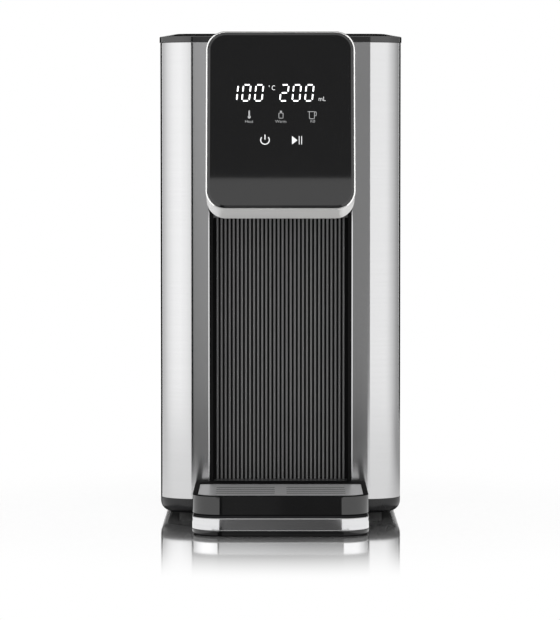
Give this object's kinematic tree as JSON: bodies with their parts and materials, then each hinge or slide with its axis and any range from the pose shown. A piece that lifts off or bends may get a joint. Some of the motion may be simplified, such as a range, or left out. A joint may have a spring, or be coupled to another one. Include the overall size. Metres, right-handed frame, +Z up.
{
  "type": "hot water dispenser",
  "caption": "Countertop hot water dispenser: steel housing, tilted touch panel head over a cup bay, slide-out drip tray, lift-off rear tank with hinged lid.",
  "frame": {"origin": "on the table under the middle of the footprint", "axes": "+Z up, -Y towards the user, +X to the user's right"},
  "size_m": [0.181, 0.304, 0.362],
  "materials": {
    "steel_panel": "fine horizontal brushing",
    "head_metal": "satin brushed",
    "trim_metal": "satin",
    "grille_steel": "satin",
    "control_glass": "polished black",
    "cover_black": "satin black",
    "base_black": "fine grain black",
    "tray_black": "gloss black",
    "liner_black": "gloss black",
    "head_black": "fine grain black",
    "chassis_grey": "moulded",
    "tank_smoke": "smoky clear",
    "handle_black": "moulded",
    "foot_rubber": "matt",
    "seal_rubber": "matt",
    "screw_steel": "zinc plated",
    "motor_steel": "plated",
    "board_green": "solder mask",
    "part_grey": "moulded",
    "white_plastic": "moulded",
    "hose_silicone": "clear silicone",
    "heater_alloy": "cast",
    "tube_steel": "drawn"
  },
  "bodies": {
    "housing": {"base": "base_black", "base_trim": "trim_metal", "tray_deck": "base_black", "rubber_feet": "foot_rubber", "base_screws": "screw_steel", "left_panel": "steel_panel", "right_panel": "steel_panel", "chassis": "chassis_grey", "bay_liner": "liner_black", "rear_cover": "base_black", "rear_cover_screws": "screw_steel", "top_cover": "cover_black", "tank_shelf": "base_black", "cord_gland": "foot_rubber", "head_ring": "head_metal", "control_glass": "control_glass", "display_board": "board_green", "display_module": "white_plastic", "touch_pads": "foot_rubber", "head_shell": "head_black", "head_screws": "screw_steel", "spout_nozzle": "head_black", "outlet_manifold": "white_plastic", "tank_socket": "handle_black", "socket_seal": "seal_rubber", "pump_cradle": "foot_rubber", "pump_motor": "motor_steel", "pump_housing": "handle_black", "pump_cover": "handle_black", "suction_hose": "hose_silicone", "pump_hose": "hose_silicone", "flow_meter_body": "handle_black", "flow_meter_cap": "white_plastic", "heater_hose": "hose_silicone", "heater_block": "heater_alloy", "heater_tube": "tube_steel", "heating_element": "motor_steel", "heater_bracket": "screw_steel", "thermal_cutouts": "white_plastic", "temperature_sensor": "foot_rubber", "outlet_hose": "hose_silicone", "power_board": "board_green", "power_components": "part_grey", "display_cable": "part_grey", "level_sensor": "part_grey"},
    "tray": {"drip_tray": "tray_black"},
    "grille": {"drip_grille": "grille_steel"},
    "water_tank": {"tank": "tank_smoke", "tank_handle": "handle_black", "lid_hinge_pin": "screw_steel", "valve_seat": "white_plastic", "valve_spring": "screw_steel", "tank_filter": "white_plastic", "float_post": "white_plastic"},
    "lid": {"tank_lid": "cover_black"},
    "valve": {"valve_poppet": "seal_rubber"},
    "float": {"level_float": "white_plastic"},
    "pump_wheel": {"pump_rotor": "screw_steel"},
    "meter_wheel": {"flow_meter_rotor": "white_plastic"}
  },
  "joints": [
    {"name": "tray_slide", "type": "slide", "parent": "housing", "child": "tray", "axis": [0, -1, 0], "range_m": [0, 0.13]},
    {"name": "grille_lift", "type": "slide", "parent": "tray", "child": "grille", "axis": [0, 0, 1], "range_m": [0, 0.04]},
    {"name": "tank_lift", "type": "slide", "parent": "housing", "child": "water_tank", "axis": [0, 0, 1], "range_m": [0, 0.36]},
    {"name": "lid_hinge", "type": "hinge", "parent": "water_tank", "child": "lid", "pos_m": [0, 0.1491, 0.3586], "axis": [-1, 0, 0], "range_deg": [0, 100]},
    {"name": "valve_rise", "type": "slide", "parent": "water_tank", "child": "valve", "axis": [0, 0, 1], "range_m": [0, 0.002], "stiffness_N_per_m": 250, "springref_m": -0.004, "deforming": ["valve_spring"]},
    {"name": "float_rise", "type": "slide", "parent": "water_tank", "child": "float", "axis": [0, 0, 1], "range_m": [0, 0.028]},
    {"name": "pump_spin", "type": "hinge", "parent": "housing", "child": "pump_wheel", "pos_m": [0, 0.01862, 0.034], "axis": [1, 0, 0], "continuous": true},
    {"name": "meter_spin", "type": "hinge", "parent": "housing", "child": "meter_wheel", "pos_m": [0, 0.01862, 0.092], "axis": [0, 1, 0], "continuous": true}
  ]
}
